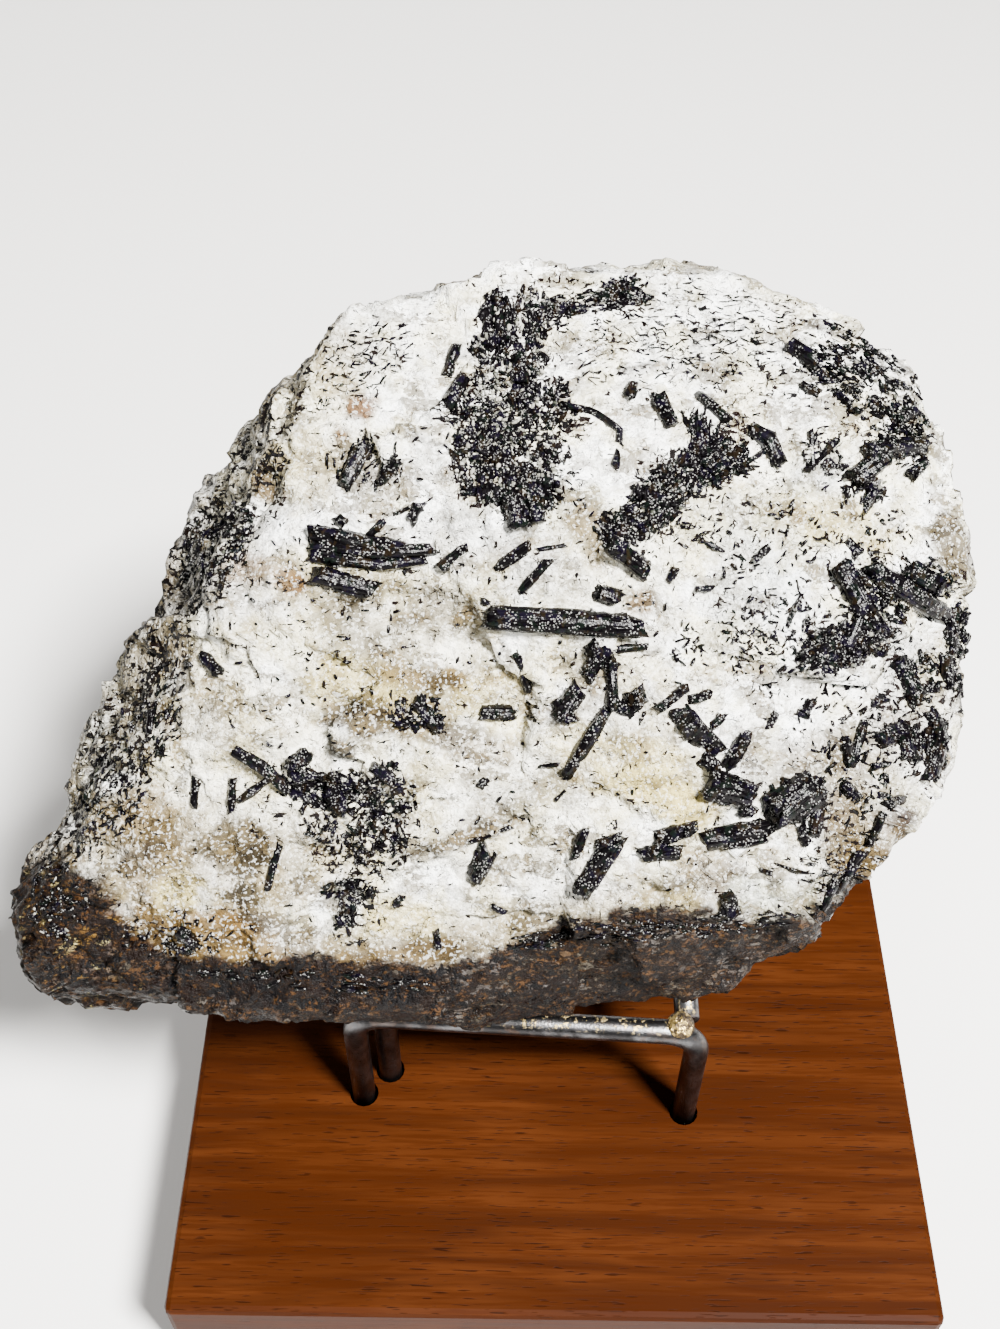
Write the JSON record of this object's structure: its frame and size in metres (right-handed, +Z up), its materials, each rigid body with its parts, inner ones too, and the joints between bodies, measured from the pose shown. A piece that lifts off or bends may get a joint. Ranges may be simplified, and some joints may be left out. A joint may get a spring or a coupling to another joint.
{
  "type": "black tourmaline in quartz specimen on a rod stand",
  "caption": "Broken lump of white quartz and feldspar with black tourmaline prisms, resting on a bent-rod stand fixed in a square wooden base.",
  "frame": {"origin": "middle of the wooden base's underside", "axes": "+Z up, +Y to the back, +X to the right seen from the front, where the stone's broad face leans back"},
  "size_m": [0.0863, 0.075, 0.09],
  "materials": {
    "quartz": "rough broken white quartz and feldspar, with ochre stains",
    "tourmaline": "glossy black, striated along the prism",
    "stand_metal": "dark, worn, glossy rod",
    "brazing": "rough golden brazing",
    "wood": "orange-brown stain, satin, fine pores"
  },
  "bodies": {
    "root": {"aggregate_diagonal": "tourmaline", "aggregate_left": "tourmaline", "aggregate_top": "tourmaline", "blade_left": "tourmaline", "blade_upper_right": "tourmaline", "block_dark": "tourmaline", "block_left": "tourmaline", "braze_back_left": "brazing", "braze_back_right": "brazing", "braze_front_left": "brazing", "braze_front_right": "brazing", "bundle_centre": "tourmaline", "bundle_left": "tourmaline", "cluster_right": "tourmaline", "lozenge": "tourmaline", "prism_left": "tourmaline", "prism_low_left": "tourmaline", "prism_low_left_under": "tourmaline", "prism_low_right": "tourmaline", "prism_lower": "tourmaline", "prism_lower_middle": "tourmaline", "prism_middle": "tourmaline", "prism_right_edge": "tourmaline", "prism_right_low": "tourmaline", "prism_tip": "tourmaline", "prism_upper_edge": "tourmaline", "quartz_matrix": "quartz", "ridge_right": "tourmaline", "stand_back_rod": "stand_metal", "stand_front_rod": "stand_metal", "stand_left_brace": "stand_metal", "stand_left_rail": "stand_metal", "stand_right_rail": "stand_metal", "stub_low": "tourmaline", "stub_right": "tourmaline", "stub_small": "tourmaline", "wooden_base": "wood"}
  },
  "joints": []
}
